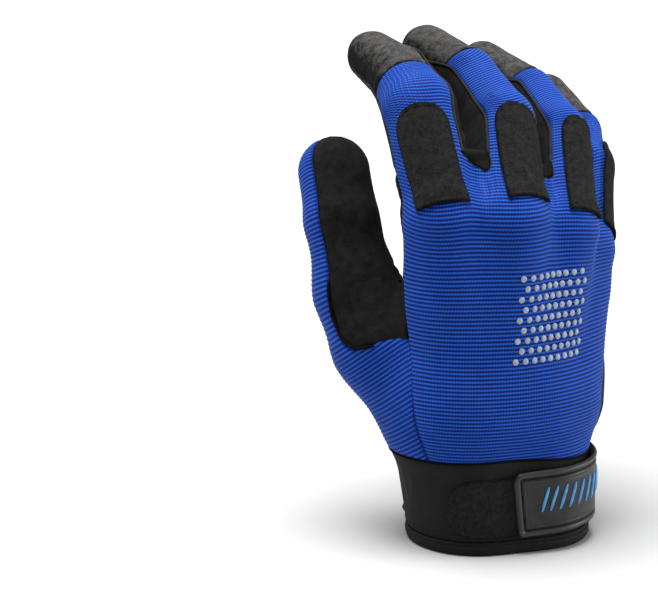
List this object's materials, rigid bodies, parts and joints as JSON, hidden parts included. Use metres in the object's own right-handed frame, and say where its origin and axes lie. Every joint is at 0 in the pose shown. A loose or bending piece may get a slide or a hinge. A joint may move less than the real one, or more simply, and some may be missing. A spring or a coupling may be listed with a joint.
{
  "type": "work glove",
  "caption": "Right-hand work glove in its worn shape, hollow and open at the wrist: ribbed stretch back, suede palm, knuckle patches, elastic cuff and moulded strap tab.",
  "frame": {"origin": "middle of the cuff's opening, on the plane of the hem, at mount wrist", "axes": "+Z along the forearm towards the fingers, -Y towards the back of the hand, +X towards the little finger's side"},
  "size_m": [0.1233, 0.1081, 0.1786],
  "materials": {
    "ribbed_cloth": "ribbed stretch cloth",
    "palm_suede": "matte synthetic suede",
    "patch_suede": "mottled synthetic suede",
    "elastic_knit": "smooth elastic knit",
    "tape": "woven binding tape",
    "strap_cloth": "smooth strap cloth",
    "moulded_rubber": "soft matte moulding"
  },
  "bodies": {
    "root": {"cuff": "elastic_knit", "cuff_hem": "elastic_knit", "back_panel": "ribbed_cloth", "thumb_back": "ribbed_cloth", "vent_binding": "tape", "strap_tab": "moulded_rubber", "strap_band": "strap_cloth", "loop_patch": "strap_cloth", "palm_panel": "palm_suede", "thumb_front": "palm_suede", "index_front": "palm_suede", "middle_front": "palm_suede", "ring_front": "palm_suede", "little_front": "palm_suede", "side_strip_index_middle": "palm_suede", "side_strip_middle_ring": "palm_suede", "side_strip_ring_little": "palm_suede", "knuckle_patch_index": "patch_suede", "knuckle_patch_middle": "patch_suede", "knuckle_patch_ring": "patch_suede", "knuckle_patch_little": "patch_suede"}
  },
  "joints": []
}
